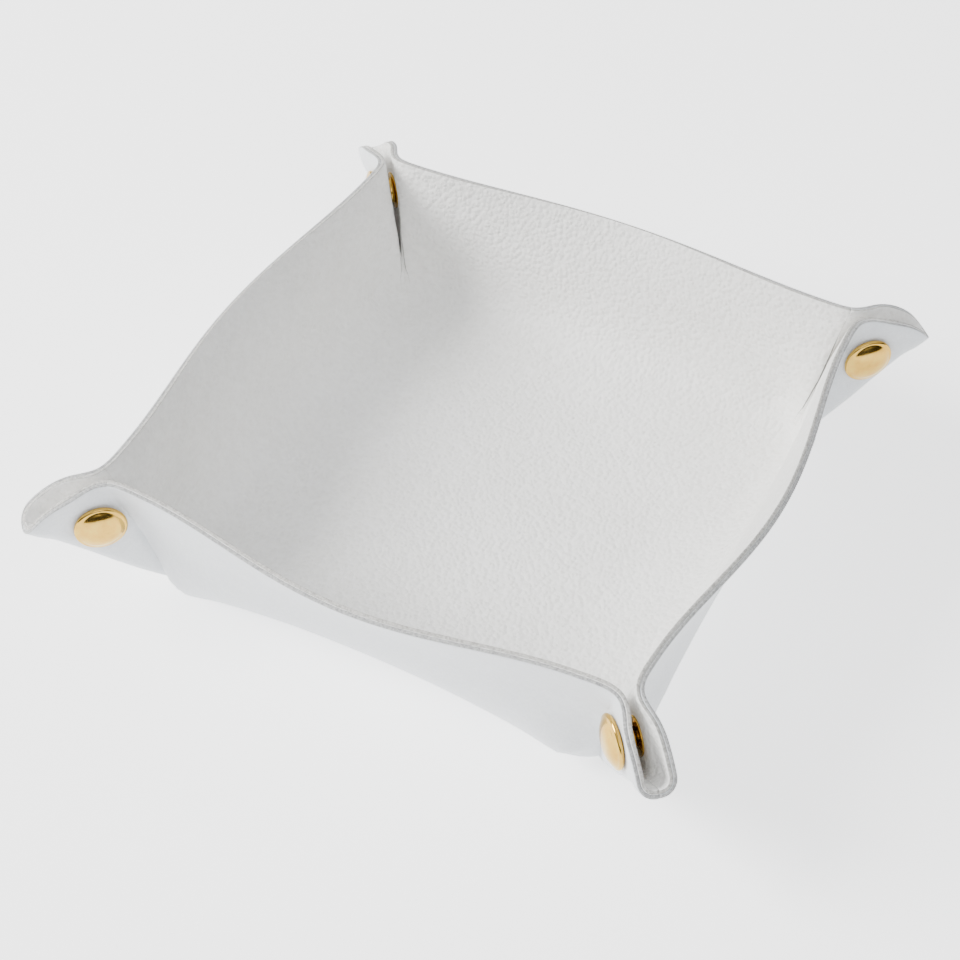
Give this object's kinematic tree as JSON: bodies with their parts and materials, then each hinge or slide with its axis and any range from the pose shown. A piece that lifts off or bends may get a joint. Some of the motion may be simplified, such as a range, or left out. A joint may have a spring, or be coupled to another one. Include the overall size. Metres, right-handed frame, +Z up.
{
  "type": "folding dice tray",
  "caption": "Square leather tray that lies flat or snaps up: four sloped walls, pinched corner beaks closed by brass snap fasteners.",
  "frame": {"origin": "on the table under the middle of the floor", "axes": "+Z up from the table, +X and +Y square to the walls"},
  "size_m": [0.1872, 0.1872, 0.046],
  "materials": {
    "leather_inner": "fine pebbled off-white leather",
    "leather_outer": "smooth cool light grey leather",
    "brass": "polished brass, lightly worn",
    "spring_steel": "drawn spring wire"
  },
  "bodies": {
    "floor": {"floor_inner_ply": "leather_inner", "floor_outer_ply": "leather_outer"},
    "right_wall": {"right_wall_inner_ply": "leather_inner", "right_wall_outer_ply": "leather_outer"},
    "back_wall": {"back_wall_inner_ply": "leather_inner", "back_wall_outer_ply": "leather_outer"},
    "left_wall": {"left_wall_inner_ply": "leather_inner", "left_wall_outer_ply": "leather_outer"},
    "front_wall": {"front_wall_inner_ply": "leather_inner", "front_wall_outer_ply": "leather_outer"},
    "back_right_beak_right": {"back_right_beak_right_inner_ply": "leather_inner", "back_right_beak_right_outer_ply": "leather_outer", "back_right_cap_female": "brass", "back_right_post_female": "brass", "back_right_socket": "brass", "back_right_ring_spring": "spring_steel"},
    "back_right_beak_back": {"back_right_beak_back_inner_ply": "leather_inner", "back_right_beak_back_outer_ply": "leather_outer", "back_right_cap_male": "brass", "back_right_post_male": "brass", "back_right_stud": "brass"},
    "back_left_beak_back": {"back_left_beak_back_inner_ply": "leather_inner", "back_left_beak_back_outer_ply": "leather_outer", "back_left_cap_female": "brass", "back_left_post_female": "brass", "back_left_socket": "brass", "back_left_ring_spring": "spring_steel"},
    "back_left_beak_left": {"back_left_beak_left_inner_ply": "leather_inner", "back_left_beak_left_outer_ply": "leather_outer", "back_left_cap_male": "brass", "back_left_post_male": "brass", "back_left_stud": "brass"},
    "front_left_beak_left": {"front_left_beak_left_inner_ply": "leather_inner", "front_left_beak_left_outer_ply": "leather_outer", "front_left_cap_female": "brass", "front_left_post_female": "brass", "front_left_socket": "brass", "front_left_ring_spring": "spring_steel"},
    "front_left_beak_front": {"front_left_beak_front_inner_ply": "leather_inner", "front_left_beak_front_outer_ply": "leather_outer", "front_left_cap_male": "brass", "front_left_post_male": "brass", "front_left_stud": "brass"},
    "front_right_beak_front": {"front_right_beak_front_inner_ply": "leather_inner", "front_right_beak_front_outer_ply": "leather_outer", "front_right_cap_female": "brass", "front_right_post_female": "brass", "front_right_socket": "brass", "front_right_ring_spring": "spring_steel"},
    "front_right_beak_right": {"front_right_beak_right_inner_ply": "leather_inner", "front_right_beak_right_outer_ply": "leather_outer", "front_right_cap_male": "brass", "front_right_post_male": "brass", "front_right_stud": "brass"}
  },
  "joints": [
    {"name": "unfold", "type": "hinge", "parent": "floor", "child": "right_wall", "pos_m": [0.062, 0, 0.005], "axis": [0, 1, 0], "range_deg": [0, 70]},
    {"name": "back_wall_bend", "type": "hinge", "parent": "floor", "child": "back_wall", "pos_m": [0, 0.062, 0.005], "axis": [-1, 0, 0], "range_deg": [0, 70]},
    {"name": "left_wall_bend", "type": "hinge", "parent": "floor", "child": "left_wall", "pos_m": [-0.062, 0, 0.005], "axis": [0, -1, 0], "range_deg": [0, 70]},
    {"name": "front_wall_bend", "type": "hinge", "parent": "floor", "child": "front_wall", "pos_m": [0, -0.062, 0.005], "axis": [1, 0, 0], "range_deg": [0, 70]},
    {"name": "back_right_beak_right_crease", "type": "hinge", "parent": "right_wall", "child": "back_right_beak_right", "pos_m": [0.062, 0.062, 0.005], "axis": [0.3323, 0.2365, 0.913], "range_deg": [0, 41.83]},
    {"name": "back_right_beak_back_crease", "type": "hinge", "parent": "back_wall", "child": "back_right_beak_back", "pos_m": [0.062, 0.062, 0.005], "axis": [-0.2365, -0.3323, -0.913], "range_deg": [0, 41.83]},
    {"name": "back_left_beak_back_crease", "type": "hinge", "parent": "back_wall", "child": "back_left_beak_back", "pos_m": [-0.062, 0.062, 0.005], "axis": [-0.2365, 0.3323, 0.913], "range_deg": [0, 41.83]},
    {"name": "back_left_beak_left_crease", "type": "hinge", "parent": "left_wall", "child": "back_left_beak_left", "pos_m": [-0.062, 0.062, 0.005], "axis": [0.3323, -0.2365, -0.913], "range_deg": [0, 41.83]},
    {"name": "front_left_beak_left_crease", "type": "hinge", "parent": "left_wall", "child": "front_left_beak_left", "pos_m": [-0.062, -0.062, 0.005], "axis": [-0.3323, -0.2365, 0.913], "range_deg": [0, 41.83]},
    {"name": "front_left_beak_front_crease", "type": "hinge", "parent": "front_wall", "child": "front_left_beak_front", "pos_m": [-0.062, -0.062, 0.005], "axis": [0.2365, 0.3323, -0.913], "range_deg": [0, 41.83]},
    {"name": "front_right_beak_front_crease", "type": "hinge", "parent": "front_wall", "child": "front_right_beak_front", "pos_m": [0.062, -0.062, 0.005], "axis": [0.2365, -0.3323, 0.913], "range_deg": [0, 41.83]},
    {"name": "front_right_beak_right_crease", "type": "hinge", "parent": "right_wall", "child": "front_right_beak_right", "pos_m": [0.062, -0.062, 0.005], "axis": [-0.3323, 0.2365, -0.913], "range_deg": [0, 41.83]}
  ],
  "couplings": [
    {"joint": "back_wall_bend", "follows": "unfold", "ratio": 1},
    {"joint": "left_wall_bend", "follows": "unfold", "ratio": 1},
    {"joint": "front_wall_bend", "follows": "unfold", "ratio": 1},
    {"joint": "back_right_beak_right_crease", "follows": "unfold", "ratio": 0.59758},
    {"joint": "back_right_beak_back_crease", "follows": "unfold", "ratio": 0.59758},
    {"joint": "back_left_beak_back_crease", "follows": "unfold", "ratio": 0.59758},
    {"joint": "back_left_beak_left_crease", "follows": "unfold", "ratio": 0.59758},
    {"joint": "front_left_beak_left_crease", "follows": "unfold", "ratio": 0.59758},
    {"joint": "front_left_beak_front_crease", "follows": "unfold", "ratio": 0.59758},
    {"joint": "front_right_beak_front_crease", "follows": "unfold", "ratio": 0.59758},
    {"joint": "front_right_beak_right_crease", "follows": "unfold", "ratio": 0.59758}
  ]
}
